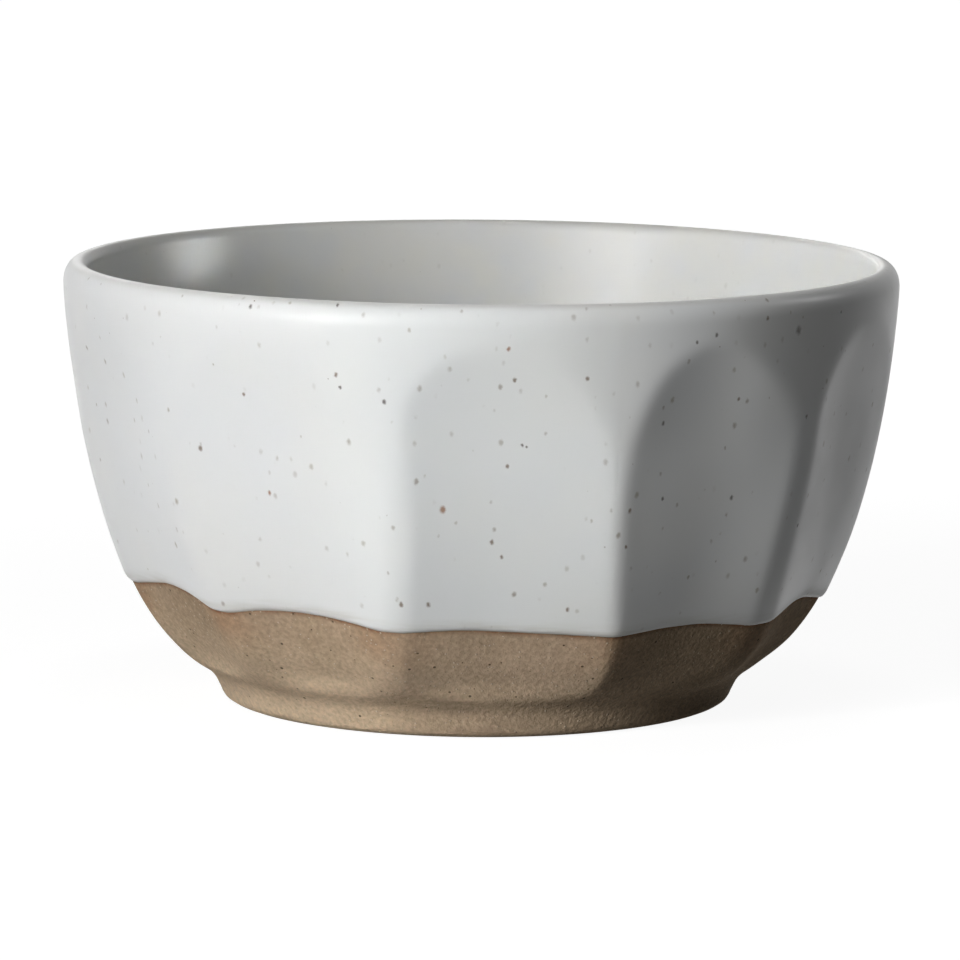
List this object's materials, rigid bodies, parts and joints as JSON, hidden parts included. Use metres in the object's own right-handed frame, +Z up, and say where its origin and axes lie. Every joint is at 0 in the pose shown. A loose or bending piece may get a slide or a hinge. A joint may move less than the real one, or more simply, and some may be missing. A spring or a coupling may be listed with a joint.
{
  "type": "stoneware bowl",
  "caption": "Deep stoneware bowl on a low turned foot, with arch-topped flutes cut down the outside and a satin white glaze that stops at a wavy line above the bare clay.",
  "frame": {"origin": "centre of the foot, on the surface that the bowl stands on", "axes": "+Z up along the bowl's axis, -Y through the middle of one flute, +X to the side where the glaze line runs lowest"},
  "size_m": [0.14, 0.14, 0.074],
  "materials": {
    "bare_stoneware": "unglazed sandy brown stoneware with fine dark and light grains",
    "satin_white_glaze": "satin white glaze with small brown iron specks"
  },
  "bodies": {
    "root": {"stoneware_body": "bare_stoneware", "glaze_coat": "satin_white_glaze"}
  },
  "joints": []
}
